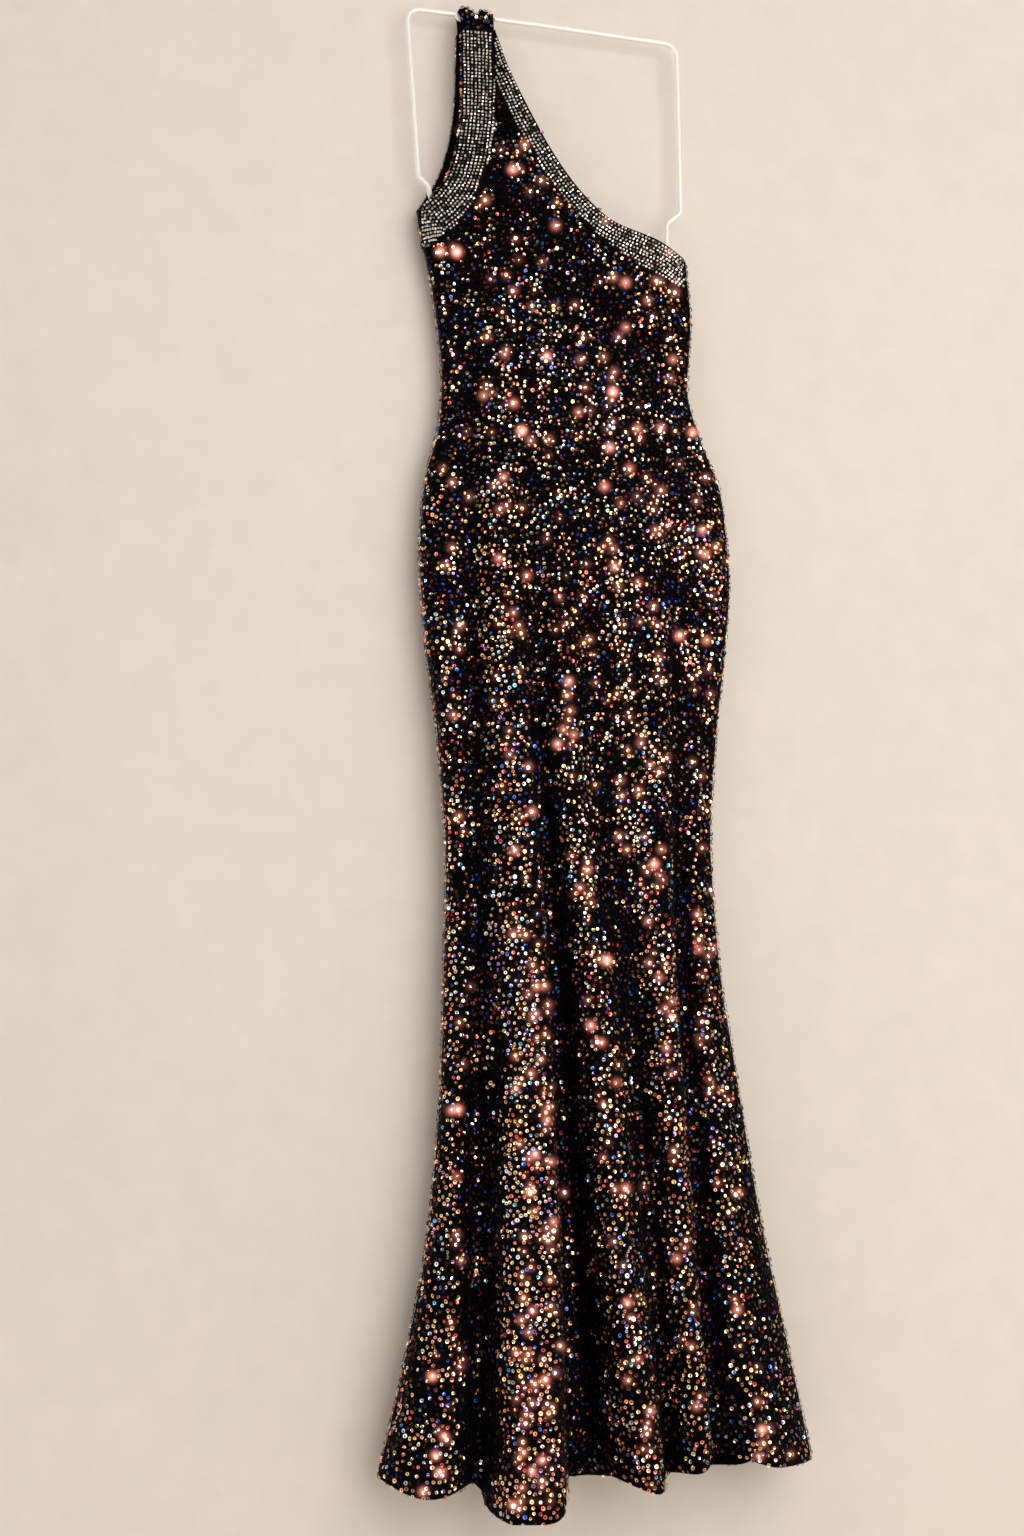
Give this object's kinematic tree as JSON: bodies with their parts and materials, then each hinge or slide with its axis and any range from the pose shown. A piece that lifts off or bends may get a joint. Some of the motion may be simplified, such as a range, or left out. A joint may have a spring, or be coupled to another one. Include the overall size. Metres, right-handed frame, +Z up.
{
  "type": "evening gown on wire hanger",
  "caption": "One-shoulder floor-length sequinned evening gown with stone-set neckline and armhole bands, flared below the knee, hanging on a wire frame hanger.",
  "frame": {"origin": "middle of the hanger's top bar, where a rail or hook holds it", "axes": "+Z up along the gown's length, +Y towards the wall behind it so the front faces -Y, +X to the side without a strap"},
  "size_m": [0.4188, 0.1256, 1.5087],
  "materials": {
    "sequin_cloth": "black stretch mesh covered in black cup sequins with a many-coloured shine",
    "stone_band": "black net set with rows of clear silver stones",
    "white_wire": "white plastic-coated steel wire, satin"
  },
  "bodies": {
    "root": {"front_panel": "sequin_cloth", "back_panel": "sequin_cloth", "shoulder_strap": "sequin_cloth", "armhole_trim": "stone_band", "neckline_trim": "stone_band", "hanger_wire": "white_wire"}
  },
  "joints": []
}
